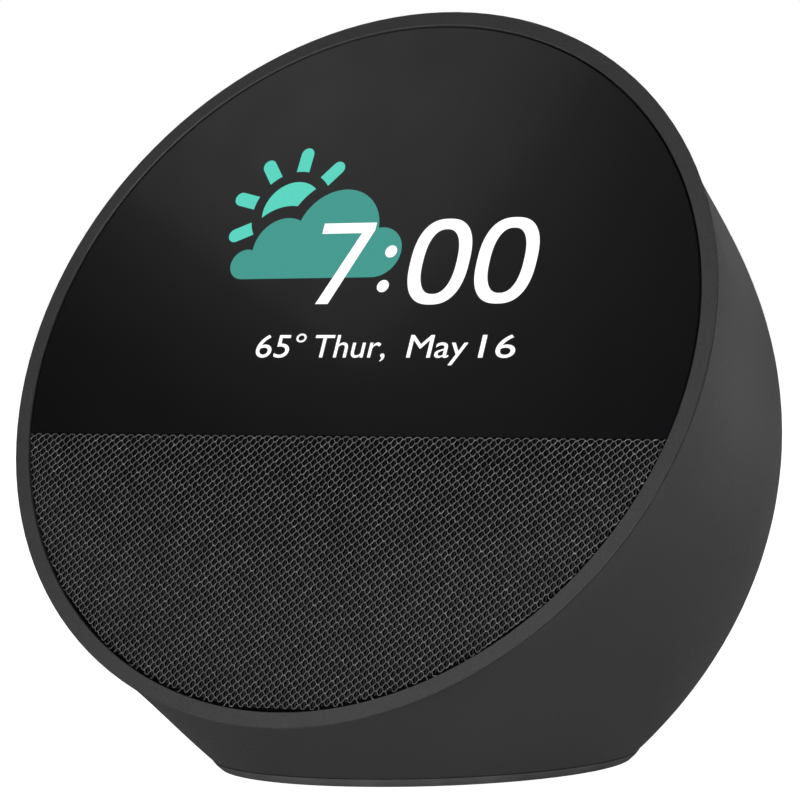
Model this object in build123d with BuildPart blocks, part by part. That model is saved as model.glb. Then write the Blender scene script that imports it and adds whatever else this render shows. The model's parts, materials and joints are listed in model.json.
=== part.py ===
from build123d import *
import os
from math import cos, hypot, radians, sin, tan

# Smart display: a dome that leans back on a round foot, its flat round face split
# into a black lens above and a speaker grille below.
# Millimetres. Origin: centre of the foot's underside. +Z up, the face looks to -Y.
# "Depth" is measured behind the lens front, square to the face.

# ---- Driving dimensions ----
RING_R = 56.5            # outer radius of the bezel ring and of the dome's rim
RING_BORE_R = 54.17      # inner radius of the bezel ring
RING_FALL = 0.18         # the ring's face slopes back this much from bore to edge
FACE_LEAN = 28.6         # degrees the face leans back from upright
FACE_Y = -16.75          # face centre, measured from the foot's axis
FACE_Z = 59.45           # face centre above the table
FOOT_R = 31.15           # radius of the dome's lower edge
FOOT_SOLE_R = 29.95      # radius where the foot meets the table
SEAM_Z = 1.3             # height of the seam between dome and foot
RIM_SET = 0.50           # the dome's rim lies this far behind the lens front
WALL = 2.2               # wall thickness of the dome
CHORD_V = -11.84         # straight joint between lens and grille, below the face centre
FIT_GAP = 0.12           # clearance between parts that sit in each other

# ---- Dome shape: ellipses on planes fanned about the line where rim and seam planes meet ----
SECTIONS = 12
BACK_BULGE = 18.35       # how far the back swells beyond a straight run from foot to rim
BACK_SKEW = -6.6         # moves that swelling towards the foot
BACK_FLAT = -8.31        # evens the swelling out
WAIST = -0.079           # share by which a middle ellipse is narrower than it is tall
WAIST_SKEW = 0.043
OVAL_HAIR = 0.0005       # every section is at least this much narrower than tall, so none is a circle

# ---- Face stack, as depths ----
LENS_DEPTH = 0.12
LENS_THICK = 1.6
ADHESIVE_THICK = 0.25
CLOTH_DEPTH = 0.15
CLOTH_THICK = 0.5
GRILLE_THICK = 1.2
FRAME_THICK = 2.0
FRAME_R = 52.4
LENS_R = 53.93
PANEL_W = 60.0
PANEL_H = 46.0
PANEL_V = 15.0           # centre of the display panel above the face centre
PANEL_THICK = 1.2
BACKLIGHT_THICK = 2.0

# ---- Speaker, on an axis square to the face ----
SPEAKER_V = -30.0
DRIVER_R = 22.0
EAR_R = 2.9
EAR_PITCH_R = 23.5
COIL_R = 5.0

# ---- Boards ----
BOARD_DEPTH = 12.0
BOARD_W = 72.0
BOARD_H = 38.0
BOARD_V = 17.0
BOARD_THICK = 1.2
POST_R = 2.2
POST_U = 32.6
POST_DV = 16.0

# ---- Top buttons ----
BUTTON_TAU = 0.86        # place of the button row on the way from foot (0) to rim (1)
BUTTON_PITCH = 16.0
BUTTON_R = 4.9
BUTTON_HOLE_R = 5.1
BUTTON_PROUD = 0.35
FLANGE_R = 5.7
FLANGE_Z = -8.2          # top of the retaining flanges below the dome's crown
FLANGE_THICK = 0.8
SWITCH_SIDE = 4.6
SWITCH_TOP = -9.6
BUTTON_BOARD_Z = -11.6
BUTTON_BOARD_THICK = 1.0
BUTTON_POST_U = 8.0
MIC_U = 25.0
MIC_L = 3.5
MIC_W = 2.65
MIC_H = 1.0
BOOT_R = 1.9
BOOT_BORE_R = 0.7
BOOT_REACH = 6.0          # long enough to pass the dome's inner wall

# ---- Power inlet, low on the back ----
INLET_Z = 19.0
INLET_R = 6.2
INLET_FLOOR_Y = 40.0
INLET_WALL = 1.6
INLET_GAP = 0.08
INLET_REACH = 30.0       # long enough to pass the dome's skin
JACK_W = 9.0
JACK_H = 10.0
JACK_L = 13.0
JACK_BORE_R = 2.85
JACK_PIN_R = 0.95
JACK_DEPTH = 9.5
JACK_MOUTH_GAP = 0.6      # the cup's hole is this much wider than the jack's bore
JACK_PIN_SET = 0.6       # the pin's tip lies this far inside the jack
JACK_BOARD_THICK = 1.2

# ---- Base ----
BASE_PLATE_R = 28.5
BASE_PLATE_THICK = 2.0
FOOT_TOP = 1.2
BASE_SCREW_R = 24.3
BALLAST_R = 20.5
BALLAST_HOLE_R = 3.0
BALLAST_THICK = 6.0

# ---- Fasteners ----
SCREW_R = 0.8            # thread radius of every self-tapping screw
SCREW_HEAD_R = 1.6
SCREW_HEAD_H = 1.0
SCREW_GAP = 0.15         # clearance round a screw's shank or head
FRAME_SCREW_R = 50.2     # pitch radius of the four frame screws on the face
FRAME_SCREW_ANGLES = (22, 158, 217, 323)

LEAN = radians(FACE_LEAN)
FACE = Plane(origin=(0, FACE_Y, FACE_Z), x_dir=(1, 0, 0), z_dir=(0, -cos(LEAN), sin(LEAN)))
LENS_BACK = LENS_DEPTH + LENS_THICK
FRAME_DEPTH = LENS_BACK + ADHESIVE_THICK
FRAME_BACK = FRAME_DEPTH + FRAME_THICK
GRILLE_DEPTH = FRAME_DEPTH - GRILLE_THICK
BACKLIGHT_DEPTH = LENS_BACK + PANEL_THICK
BACKLIGHT_BACK = BACKLIGHT_DEPTH + BACKLIGHT_THICK
BASKET_DEPTH = 5.6
BASKET_FLOOR = 14.2
SHEET_T = 0.8            # pressed steel of the basket
MOTOR_R = 12.6
MOTOR_FRONT = -(BASKET_FLOOR + SHEET_T)
POLE_BACK = MOTOR_FRONT - 2.4
MAGNET_BACK = POLE_BACK - 4.2
YOKE_BACK = MAGNET_BACK - 1.8
SPEAKER_HOLE_R = 18.5
BOARD_BACK = BOARD_DEPTH + BOARD_THICK


def face_plane(depth, u=0.0, v=0.0):
    """A plane parallel to the face, at a depth, centred u to the right and v up."""
    return Plane(origin=FACE.from_local_coords((u, v, -depth)), x_dir=FACE.x_dir, z_dir=FACE.z_dir)


# The line, parallel to X, where the plane of the rim meets the plane of the seam.
RIM = face_plane(RIM_SET)
FAN_Y = RIM.origin.Y - (RIM.origin.Z - SEAM_Z) * tan(LEAN)
FAN_ANGLE = radians(90) - LEAN
RIM_REACH = hypot(RIM.origin.Y - FAN_Y, RIM.origin.Z - SEAM_Z)


def front_reach(angle):
    """Distance from the fan line to the straight front edge between foot and rim."""
    near_foot = -FOOT_R - FAN_Y
    near_rim = RIM_REACH - RING_R
    run_y = near_rim * cos(FAN_ANGLE) - near_foot
    run_z = near_rim * sin(FAN_ANGLE)
    share = near_foot * sin(angle) / (run_z * cos(angle) - run_y * sin(angle))
    return hypot(near_foot + share * run_y, share * run_z)


def back_reach(tau):
    """Distance from the fan line to the back of the dome, tau going 0 at the foot to 1 at the rim."""
    swell = 4 * tau * (1 - tau)
    side = 2 * tau - 1
    straight = (FOOT_R - FAN_Y) * (1 - tau) + (RIM_REACH + RING_R) * tau
    return straight + swell * (BACK_BULGE + BACK_SKEW * side + BACK_FLAT * side * side)


def fan_plane(tau, reach):
    """The plane of one section, centred reach away from the fan line."""
    angle = tau * FAN_ANGLE
    centre = (0, FAN_Y + reach * cos(angle), SEAM_Z + reach * sin(angle))
    return Plane(origin=centre, x_dir=(1, 0, 0), z_dir=(0, -sin(angle), cos(angle)))


def body_section(tau, inset):
    """Plane, half width and half height of the dome's section, its skin moved in by inset."""
    near = front_reach(tau * FAN_ANGLE)
    far = back_reach(tau)
    half_height = (far - near) / 2
    narrowing = 1 + 4 * tau * (1 - tau) * (WAIST + WAIST_SKEW * (2 * tau - 1))
    half_width = min(half_height * narrowing, half_height - OVAL_HAIR)
    return fan_plane(tau, (near + far) / 2), half_width - inset, half_height - inset


def body_solid(inset):
    """The dome as one solid from the seam plane to the rim plane."""
    with BuildPart() as solid:
        for k in range(SECTIONS + 1):
            place, half_width, half_height = body_section(k / SECTIONS, inset)
            with BuildSketch(place):
                Ellipse(half_width, half_height)
        loft()
    return solid.part


def back_point(tau):
    """A point of the back's centre line, as (y, z)."""
    reach = back_reach(tau)
    angle = tau * FAN_ANGLE
    return FAN_Y + reach * cos(angle), SEAM_Z + reach * sin(angle)


def crown_plane(tau):
    """A plane that touches the back's centre line, its normal pointing out of the dome."""
    step = 0.001
    y0, z0 = back_point(tau - step)
    y1, z1 = back_point(tau + step)
    y, z = back_point(tau)
    # going up the back and over its top, the outward normal is on the right hand
    return Plane(origin=(0, y, z), x_dir=(1, 0, 0), z_dir=(0, z1 - z0, y0 - y1))


BUTTONS = crown_plane(BUTTON_TAU)


def button_plane(height, x=0.0):
    """A plane parallel to the button board, at a height from the crown, centred at x."""
    return Plane(origin=BUTTONS.from_local_coords((x, 0, height)), x_dir=(1, 0, 0), z_dir=BUTTONS.z_dir)


def screw_set(places, head_h, length):
    """Identical pan-head screws; each place is the plane under the head, its normal out of the head."""
    with BuildPart() as screws:
        for place in places:
            with BuildSketch(place):
                Circle(SCREW_HEAD_R)
            extrude(amount=head_h)
            with BuildSketch(place.offset(head_h)):
                Rectangle(SCREW_HEAD_R * 1.2, 0.35)
                Rectangle(0.35, SCREW_HEAD_R * 1.2)
            extrude(amount=-head_h * 0.5, mode=Mode.SUBTRACT)
            with BuildSketch(place):
                Circle(SCREW_R)
            extrude(amount=-length)
    return screws.part


def lower_segment(radius, top):
    """Sketch of the part of a round plate below a straight line."""
    Circle(radius)
    with Locations((0, top + radius)):
        Rectangle(2 * radius + 2, 2 * radius, mode=Mode.SUBTRACT)


def upper_segment(radius, bottom):
    """Sketch of the part of a round plate above a straight line."""
    Circle(radius)
    with Locations((0, bottom - radius)):
        Rectangle(2 * radius + 2, 2 * radius, mode=Mode.SUBTRACT)


def frame_screw_spots():
    """Face coordinates of the four screws that hold the front frame."""
    return [
        (FRAME_SCREW_R * cos(radians(a)), FRAME_SCREW_R * sin(radians(a)), a)
        for a in FRAME_SCREW_ANGLES
    ]


def board_post_spots():
    """Face coordinates of the main board's four posts."""
    return [(POST_U * i, BOARD_V + POST_DV * j) for i in (-1, 1) for j in (-1, 1)]


def speaker_ear_spots():
    """Face coordinates of the speaker's four ears."""
    reach = EAR_PITCH_R * sin(radians(45))
    return [(reach * i, SPEAKER_V + reach * j) for i in (-1, 1) for j in (-1, 1)]


parts = []


def keep(built, label):
    """Name a finished piece and put it on the list that is written out."""
    built.label = label
    parts.append(built)


# ---- Rear shell: dome, rim seat, screw bosses, button holes, hole for the inlet cup ----
outer_body = body_solid(0)
inner_body = body_solid(WALL)
SEAT_R = 55.7            # the ring's body drops into this recess in the rim
SEAT_DEPTH = 1.75
FRAME_BOSS_R = 2.7
FRAME_BOSS_L = 9.0
BASE_BOSS_R = 3.0
BASE_BOSS_TOP = 12.0
BASE_PLATE_TOP = SEAM_Z + BASE_PLATE_THICK
RIB_W = 1.6

with BuildPart() as shell_bosses:
    for u, v, angle in frame_screw_spots():
        with BuildSketch(face_plane(FRAME_BACK + FIT_GAP, u, v)):
            Circle(FRAME_BOSS_R)
            with Locations(Location((0, 0, 0), (0, 0, angle))):
                Rectangle(4 * FRAME_BOSS_R, RIB_W, align=(Align.MIN, Align.CENTER))
        extrude(amount=-FRAME_BOSS_L)
    for k in range(4):
        angle = 45 + 90 * k
        spot = (BASE_SCREW_R * cos(radians(angle)), BASE_SCREW_R * sin(radians(angle)))
        with BuildSketch(Plane(origin=(*spot, BASE_PLATE_TOP + FIT_GAP))):
            Circle(BASE_BOSS_R)
            with Locations(Location((0, 0, 0), (0, 0, angle))):
                Rectangle(7 * BASE_BOSS_R, RIB_W, align=(Align.MIN, Align.CENTER))
        extrude(amount=BASE_BOSS_TOP - BASE_PLATE_TOP)
    for side in (-1, 1):
        with BuildSketch(button_plane(BUTTON_BOARD_Z, BUTTON_POST_U * side)):
            Circle(1.9)
        extrude(amount=-BUTTON_BOARD_Z)
    add(outer_body, mode=Mode.INTERSECT)

with BuildPart() as rear_shell:
    add(outer_body)
    add(inner_body, mode=Mode.SUBTRACT)
    add(shell_bosses.part)
    with BuildSketch(face_plane(RIM_SET)):
        Circle(SEAT_R)
    extrude(amount=-(SEAT_DEPTH - RIM_SET), mode=Mode.SUBTRACT)
    for u, v, angle in frame_screw_spots():
        with BuildSketch(face_plane(FRAME_BACK, u, v)):
            Circle(SCREW_R)
        extrude(amount=-FRAME_BOSS_L + 1, mode=Mode.SUBTRACT)
    for k in range(4):
        angle = radians(45 + 90 * k)
        spot = (BASE_SCREW_R * cos(angle), BASE_SCREW_R * sin(angle))
        with BuildSketch(Plane(origin=(*spot, BASE_PLATE_TOP))):
            Circle(SCREW_R)
        extrude(amount=BASE_BOSS_TOP - BASE_PLATE_TOP - 2, mode=Mode.SUBTRACT)
    for k in (-1, 0, 1):
        with BuildSketch(button_plane(BUTTON_BOARD_Z, BUTTON_PITCH * k)):
            Circle(BUTTON_HOLE_R)
        extrude(amount=-BUTTON_BOARD_Z + 3, mode=Mode.SUBTRACT)
    for side in (-1, 1):
        with BuildSketch(button_plane(BUTTON_BOARD_Z, BUTTON_POST_U * side)):
            Circle(SCREW_R)
        extrude(amount=5, mode=Mode.SUBTRACT)
        with BuildSketch(button_plane(BUTTON_BOARD_Z, MIC_U * side)):
            Circle(0.6)
        extrude(amount=-BUTTON_BOARD_Z + 3, mode=Mode.SUBTRACT)
    with BuildSketch(Plane(origin=(0, INLET_FLOOR_Y - INLET_WALL, INLET_Z), z_dir=(0, 1, 0))):
        Circle(INLET_R + INLET_WALL + INLET_GAP)
    extrude(amount=INLET_REACH, mode=Mode.SUBTRACT)
keep(rear_shell.part, "rear_shell")

# ---- Bezel ring: a band, very slightly coned, with a lip over the dome's rim ----
LIP_T = 0.36
LIP_EDGE = 0.30         # depth of the lip's lower edge; a fine groove stays open above the dome's rim
RING_BODY_R = SEAT_R - FIT_GAP
with BuildPart() as bezel_ring:
    with BuildSketch(Plane(origin=FACE.origin, x_dir=(1, 0, 0), z_dir=-FACE.y_dir)):
        with BuildLine():
            Polyline(
                (RING_BORE_R, -SEAT_DEPTH + 0.05),
                (RING_BORE_R, -0.1),
                (RING_BORE_R + 0.1, 0),
                (RING_R - 0.08, -RING_FALL),
                (RING_R, -LIP_EDGE),
                (RING_R - 0.25, -LIP_T),
                (RING_BODY_R, -LIP_T),
                (RING_BODY_R, -SEAT_DEPTH + 0.05),
                (RING_BORE_R, -SEAT_DEPTH + 0.05),
            )
        make_face()
    revolve(axis=Axis(FACE.origin, FACE.z_dir))
keep(bezel_ring.part, "bezel_ring")

# ---- Lens and display ----
with BuildPart() as cover_lens:
    with BuildSketch(face_plane(LENS_DEPTH)):
        upper_segment(LENS_R, CHORD_V + 0.03)
    extrude(amount=-LENS_THICK)
    rim_edges = cover_lens.edges().filter_by(GeomType.CIRCLE).group_by(SortBy.LENGTH)[-1]
    chamfer(rim_edges.sort_by(Axis(FACE.origin, FACE.z_dir))[-1], 0.15)
keep(cover_lens.part, "cover_lens")

with BuildPart() as lens_adhesive:
    with BuildSketch(face_plane(LENS_BACK)):
        upper_segment(FRAME_R - 0.4, CHORD_V + 1.0)
        with Locations((0, PANEL_V)):
            Rectangle(PANEL_W + 1.2, PANEL_H + 1.2, mode=Mode.SUBTRACT)
    extrude(amount=-ADHESIVE_THICK)
keep(lens_adhesive.part, "lens_adhesive")

with BuildPart() as display_panel:
    with BuildSketch(face_plane(LENS_BACK, 0, PANEL_V)):
        RectangleRounded(PANEL_W, PANEL_H, 1.0)
    extrude(amount=-PANEL_THICK)
keep(display_panel.part, "display_panel")

with BuildPart() as display_backlight:
    with BuildSketch(face_plane(BACKLIGHT_DEPTH, 0, PANEL_V)):
        RectangleRounded(PANEL_W, PANEL_H, 1.0)
    extrude(amount=-BACKLIGHT_THICK)
    with BuildSketch(face_plane(BACKLIGHT_BACK, 0, PANEL_V)):
        Rectangle(PANEL_W - 4, PANEL_H - 4)
    extrude(amount=0.3, mode=Mode.SUBTRACT)
keep(display_backlight.part, "display_backlight")

# Flat cable from the foot of the display, under the main board's edge, to its rear.
FLEX_U = 23.5
FLEX_W = 10.0
FLEX_T = 0.2
FLEX_V = PANEL_V - PANEL_H / 2
FLEX_END_V = 1.6
with BuildPart() as display_flex:
    flex_origin = FACE.from_local_coords((FLEX_U, 0, 0))
    with BuildSketch(Plane(origin=flex_origin, x_dir=FACE.y_dir, z_dir=(-1, 0, 0))):
        with BuildLine():
            flex_path = FilletPolyline(
                (FLEX_V, 4.5),
                (FLEX_V - 2.2, 4.5),
                (FLEX_V - 2.2, BOARD_BACK + 0.5),
                (FLEX_END_V, BOARD_BACK + 0.5),
                radius=1.2,
            )
            offset(flex_path, FLEX_T, side=Side.LEFT)
        make_face()
    extrude(amount=FLEX_W / 2, both=True)
keep(display_flex.part, "display_flex")

# ---- Front frame: carries lens, display, grille, speaker and main board ----
with BuildPart() as front_frame:
    with BuildSketch(face_plane(FRAME_DEPTH)):
        Circle(FRAME_R)
        with Locations((0, PANEL_V)):
            Rectangle(PANEL_W + 0.8, PANEL_H + 0.8, mode=Mode.SUBTRACT)
        with Locations((0, SPEAKER_V)):
            Circle(SPEAKER_HOLE_R, mode=Mode.SUBTRACT)
    extrude(amount=-FRAME_THICK)
    with BuildSketch(face_plane(FRAME_BACK, 0, SPEAKER_V)):
        Circle(20.8)
        Circle(SPEAKER_HOLE_R, mode=Mode.SUBTRACT)
    extrude(amount=-1.0)
    for u, v in speaker_ear_spots():
        with BuildSketch(face_plane(FRAME_BACK, u, v)):
            Circle(2.4)
        extrude(amount=-(BASKET_DEPTH - FRAME_BACK))
        with BuildSketch(face_plane(BASKET_DEPTH, u, v)):
            Circle(SCREW_R)
        extrude(amount=2.6, mode=Mode.SUBTRACT)
    for u, v in board_post_spots():
        with BuildSketch(face_plane(FRAME_BACK, u, v)):
            Circle(POST_R)
        extrude(amount=-(BOARD_DEPTH - FRAME_BACK))
        with BuildSketch(face_plane(BOARD_DEPTH, u, v)):
            Circle(SCREW_R)
        extrude(amount=6.0, mode=Mode.SUBTRACT)
    for u, v, angle in frame_screw_spots():
        with BuildSketch(face_plane(FRAME_DEPTH, u, v)):
            Circle(SCREW_HEAD_R + SCREW_GAP)
        extrude(amount=-SCREW_HEAD_H - 0.1, mode=Mode.SUBTRACT)
        with BuildSketch(face_plane(FRAME_DEPTH, u, v)):
            Circle(SCREW_R + SCREW_GAP)
        extrude(amount=-FRAME_THICK, mode=Mode.SUBTRACT)
keep(front_frame.part, "front_frame")

frame_screw_places = [
    face_plane(FRAME_DEPTH + SCREW_HEAD_H + 0.1, u, v) for u, v, angle in frame_screw_spots()
]
keep(screw_set(frame_screw_places, SCREW_HEAD_H, 7.0), "frame_screws")

# ---- Grille: perforated plate under a stretched cloth ----
with BuildPart() as grille_frame:
    with BuildSketch(face_plane(GRILLE_DEPTH)):
        lower_segment(LENS_R - 0.6, CHORD_V - 0.4)
    extrude(amount=-GRILLE_THICK)
    with BuildSketch(face_plane(GRILLE_DEPTH, 0, SPEAKER_V)):
        Circle(1.1)
        for ring in range(1, 6):
            with PolarLocations(3.3 * ring, 6 * ring):
                Circle(1.1)
    extrude(amount=-GRILLE_THICK, mode=Mode.SUBTRACT)
keep(grille_frame.part, "grille_frame")

with BuildPart() as grille_cloth:
    with BuildSketch(face_plane(CLOTH_DEPTH)):
        lower_segment(LENS_R - 0.05, CHORD_V)
    extrude(amount=-CLOTH_THICK)
keep(grille_cloth.part, "grille_cloth")

# ---- Speaker ----
SPEAKER = face_plane(0, 0, SPEAKER_V)
SPEAKER_SECTION = Plane(origin=SPEAKER.origin, x_dir=(1, 0, 0), z_dir=-FACE.y_dir)
SPEAKER_AXIS = Axis(SPEAKER.origin, FACE.z_dir)


def turned(points):
    """A ring turned about the speaker's axis; points are (radius, -depth) around its section."""
    with BuildPart() as turned_part:
        with BuildSketch(SPEAKER_SECTION):
            with BuildLine():
                Polyline(*points, close=True)
            make_face()
        revolve(axis=SPEAKER_AXIS)
    return turned_part.part


with BuildPart() as speaker_gasket:
    with BuildSketch(face_plane(FRAME_BACK + 1.0, 0, SPEAKER_V)):
        Circle(20.6)
        Circle(18.95, mode=Mode.SUBTRACT)
    extrude(amount=-(BASKET_DEPTH - FRAME_BACK - 1.0))
keep(speaker_gasket.part, "speaker_gasket")

with BuildPart() as speaker_basket:
    with BuildSketch(face_plane(BASKET_DEPTH, 0, SPEAKER_V)):
        Circle(DRIVER_R)
        with PolarLocations(EAR_PITCH_R, 4, start_angle=45):
            Circle(EAR_R)
    extrude(amount=-1.0)
    add(turned([(17.4, -6.0), (18.2, -6.0), (13.6, -BASKET_FLOOR), (12.8, -BASKET_FLOOR)]))
    with BuildSketch(face_plane(BASKET_DEPTH, 0, SPEAKER_V)):
        Circle(17.4)
        with PolarLocations(EAR_PITCH_R, 4, start_angle=45):
            Circle(SCREW_R + SCREW_GAP)
    extrude(amount=-1.0, mode=Mode.SUBTRACT)
    with BuildSketch(face_plane(BASKET_FLOOR, 0, SPEAKER_V)):
        Circle(13.6)
        Circle(6.3, mode=Mode.SUBTRACT)
    extrude(amount=-SHEET_T)
    with BuildSketch(face_plane(7.6, 0, SPEAKER_V)):
        with PolarLocations(15.5, 6, start_angle=15):
            Rectangle(9, 6.5)
    extrude(amount=-5.0, mode=Mode.SUBTRACT)
keep(speaker_basket.part, "speaker_basket")

ear_screw_places = [
    Plane(origin=face_plane(BASKET_DEPTH + 1.0, u, v).origin, x_dir=(1, 0, 0), z_dir=-FACE.z_dir)
    for u, v in speaker_ear_spots()
]
keep(screw_set(ear_screw_places, SCREW_HEAD_H, 3.0), "speaker_screws")

# Surround: a half roll between cone and basket, with a flat land on each side.
with BuildPart() as speaker_surround:
    with BuildSketch(SPEAKER_SECTION):
        with BuildLine():
            Polyline((14.4, -5.3), (15.1, -5.3))
            ThreePointArc((15.1, -5.3), (16.55, -3.85), (18.0, -5.3))
            Polyline((18.0, -5.3), (18.85, -5.3), (18.85, -5.6), (17.7, -5.6))
            ThreePointArc((17.7, -5.6), (16.55, -4.2), (15.4, -5.6))
            Polyline((15.4, -5.6), (14.4, -5.6), (14.4, -5.3))
        make_face()
    revolve(axis=SPEAKER_AXIS)
keep(speaker_surround.part, "speaker_surround")

keep(turned([(5.4, -10.2), (15.3, -5.65), (15.3, -6.05), (5.4, -10.6)]), "speaker_cone")

CAP_CENTRE = 22.0        # depth of the dust cap's ball centre
CAP_BALL_R = 15.0
CAP_THICK = 0.35
CAP_HALF_ANGLE = 29.0
with BuildPart() as speaker_dust_cap:
    with BuildSketch(SPEAKER_SECTION):
        with BuildLine():
            front_arc = CenterArc((0, -CAP_CENTRE), CAP_BALL_R, 90, -CAP_HALF_ANGLE)
            back_arc = CenterArc((0, -CAP_CENTRE), CAP_BALL_R - CAP_THICK, 90, -CAP_HALF_ANGLE)
            Line(front_arc @ 0, back_arc @ 0)
            Line(front_arc @ 1, back_arc @ 1)
        make_face()
    revolve(axis=SPEAKER_AXIS)
keep(speaker_dust_cap.part, "speaker_dust_cap")

keep(
    turned(
        [
            (COIL_R, -10.6),
            (COIL_R + 0.3, -10.6),
            (COIL_R + 0.3, -15.4),
            (COIL_R + 0.6, -15.4),
            (COIL_R + 0.6, -18.4),
            (COIL_R, -18.4),
        ]
    ),
    "voice_coil",
)

# Spider: a corrugated cloth ring from the coil's former out to the basket's floor.
SPIDER_T = 0.3
SPIDER_RIM_R = 12.75
spider_wave = [
    (COIL_R + 0.35, -11.6),
    (6.6, -11.6),
    (7.9, -12.5),
    (9.2, -11.3),
    (10.5, -12.5),
    (11.8, -11.9),
]
spider_front = spider_wave + [(12.2, -13.9), (SPIDER_RIM_R, -13.9), (SPIDER_RIM_R, -13.9 - SPIDER_T)]
spider_back = [(r, w - SPIDER_T) for r, w in reversed(spider_wave + [(12.0, -13.9)])]
keep(turned(spider_front + spider_back), "speaker_spider")

POLE_GAP_R = 6.1
YOKE_POLE_R = 4.7
keep(
    turned(
        [
            (POLE_GAP_R, MOTOR_FRONT),
            (MOTOR_R, MOTOR_FRONT),
            (MOTOR_R, POLE_BACK),
            (POLE_GAP_R, POLE_BACK),
        ]
    ),
    "pole_plate",
)
MAGNET_HOLE_R = 7.4
keep(
    turned(
        [
            (MAGNET_HOLE_R, POLE_BACK),
            (MOTOR_R, POLE_BACK),
            (MOTOR_R, MAGNET_BACK),
            (MAGNET_HOLE_R, MAGNET_BACK),
        ]
    ),
    "speaker_magnet",
)
keep(
    turned(
        [
            (0, MOTOR_FRONT),
            (YOKE_POLE_R, MOTOR_FRONT),
            (YOKE_POLE_R, MAGNET_BACK),
            (MOTOR_R, MAGNET_BACK),
            (MOTOR_R, YOKE_BACK),
            (0, YOKE_BACK),
        ]
    ),
    "speaker_yoke",
)

# ---- Main board and what is on it ----
with BuildPart() as main_board:
    with BuildSketch(face_plane(BOARD_DEPTH, 0, BOARD_V)):
        RectangleRounded(BOARD_W, BOARD_H, 3.0)
        with GridLocations(2 * POST_U, 2 * POST_DV, 2, 2):
            Circle(SCREW_R + SCREW_GAP, mode=Mode.SUBTRACT)
    extrude(amount=-BOARD_THICK)
keep(main_board.part, "main_board")

board_screw_places = [
    Plane(origin=face_plane(BOARD_BACK, u, v).origin, x_dir=(1, 0, 0), z_dir=-FACE.z_dir)
    for u, v in board_post_spots()
]
keep(screw_set(board_screw_places, SCREW_HEAD_H, 6.0), "board_screws")

CAN_U = -8.0
CAN_V = 22.0
CAN_W = 28.0
CAN_H = 22.0
CAN_D = 2.2
with BuildPart() as processor_chip:
    with BuildSketch(face_plane(BOARD_BACK, CAN_U, CAN_V)):
        Rectangle(12, 12)
    extrude(amount=-1.1)
keep(processor_chip.part, "processor_chip")

with BuildPart() as shield_can:
    with BuildSketch(face_plane(BOARD_BACK, CAN_U, CAN_V)):
        RectangleRounded(CAN_W, CAN_H, 0.8)
    extrude(amount=-CAN_D)
    with BuildSketch(face_plane(BOARD_BACK, CAN_U, CAN_V)):
        Rectangle(CAN_W - 0.6, CAN_H - 0.6)
    extrude(amount=-CAN_D + 0.3, mode=Mode.SUBTRACT)
keep(shield_can.part, "shield_can")

with BuildPart() as thermal_pad:
    with BuildSketch(face_plane(BOARD_BACK + CAN_D, CAN_U, CAN_V)):
        Rectangle(18, 16)
    extrude(amount=-0.6)
keep(thermal_pad.part, "thermal_pad")

with BuildPart() as heat_spreader:
    with BuildSketch(face_plane(BOARD_BACK + CAN_D + 0.6, CAN_U, CAN_V)):
        RectangleRounded(40, 24, 2.0)
    extrude(amount=-1.2)
    with BuildSketch(face_plane(BOARD_BACK, CAN_U, CAN_V)):
        with GridLocations(36, 18, 2, 2):
            Rectangle(2.4, 2.4)
    extrude(amount=-(CAN_D + 0.6))
keep(heat_spreader.part, "heat_spreader")

with BuildPart() as board_connectors:
    with BuildSketch(face_plane(BOARD_BACK, FLEX_U, FLEX_END_V + 2.4)):
        Rectangle(FLEX_W + 1.6, 4.0)
    extrude(amount=-1.2)
    with BuildSketch(face_plane(BOARD_BACK, -19.0, 2.0)):
        Rectangle(6.0, 4.0)
        with Locations((12, 0)):
            Rectangle(6.0, 4.0)
    extrude(amount=-3.2)
keep(board_connectors.part, "board_connectors")

for side, label in ((-1, "wifi_antenna_left"), (1, "wifi_antenna_right")):
    with BuildPart() as antenna:
        with BuildSketch(face_plane(FRAME_BACK, 40.5 * side, 15)):
            Rectangle(0.8, 22)
        extrude(amount=-7.5)
    keep(antenna.part, label)

# ---- Top buttons, their switches, board and microphones ----
cap_skin = body_solid(-BUTTON_PROUD)
BUTTON_NAMES = ("volume_down", "microphone_off", "volume_up")
MARK_W = 0.7
MARK_L = 3.4
for k, label in zip((-1, 0, 1), BUTTON_NAMES):
    x = BUTTON_PITCH * k
    with BuildPart() as cap:
        with BuildSketch(button_plane(FLANGE_Z, x)):
            Circle(BUTTON_R)
        extrude(amount=-FLANGE_Z + 2)
        add(cap_skin, mode=Mode.INTERSECT)
        with BuildSketch(button_plane(FLANGE_Z, x)):
            Circle(FLANGE_R)
        extrude(amount=-FLANGE_THICK)
        # the mark on the cap: a minus, a ring or a plus, cut down to the dome's own skin
        with BuildSketch(button_plane(FLANGE_Z, x)):
            if label == "microphone_off":
                Circle(1.9)
                Circle(1.9 - MARK_W, mode=Mode.SUBTRACT)
            else:
                Rectangle(MARK_L, MARK_W)
                if label == "volume_up":
                    Rectangle(MARK_W, MARK_L)
        mark = extrude(amount=-FLANGE_Z + 2, mode=Mode.PRIVATE)
        add(mark - outer_body, mode=Mode.SUBTRACT)
    keep(cap.part, label + "_button")
    with BuildPart() as plunger:
        with BuildSketch(button_plane(FLANGE_Z - FLANGE_THICK, x)):
            Circle(1.3)
        extrude(amount=-1.6)
    keep(plunger.part, label + "_plunger")
    with BuildPart() as switch:
        with BuildSketch(button_plane(BUTTON_BOARD_Z, x)):
            Rectangle(SWITCH_SIDE, SWITCH_SIDE)
        extrude(amount=SWITCH_TOP - BUTTON_BOARD_Z)
        with BuildSketch(button_plane(SWITCH_TOP, x)):
            Circle(1.4)
        extrude(amount=-1.7, mode=Mode.SUBTRACT)
    keep(switch.part, label + "_switch")

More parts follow.
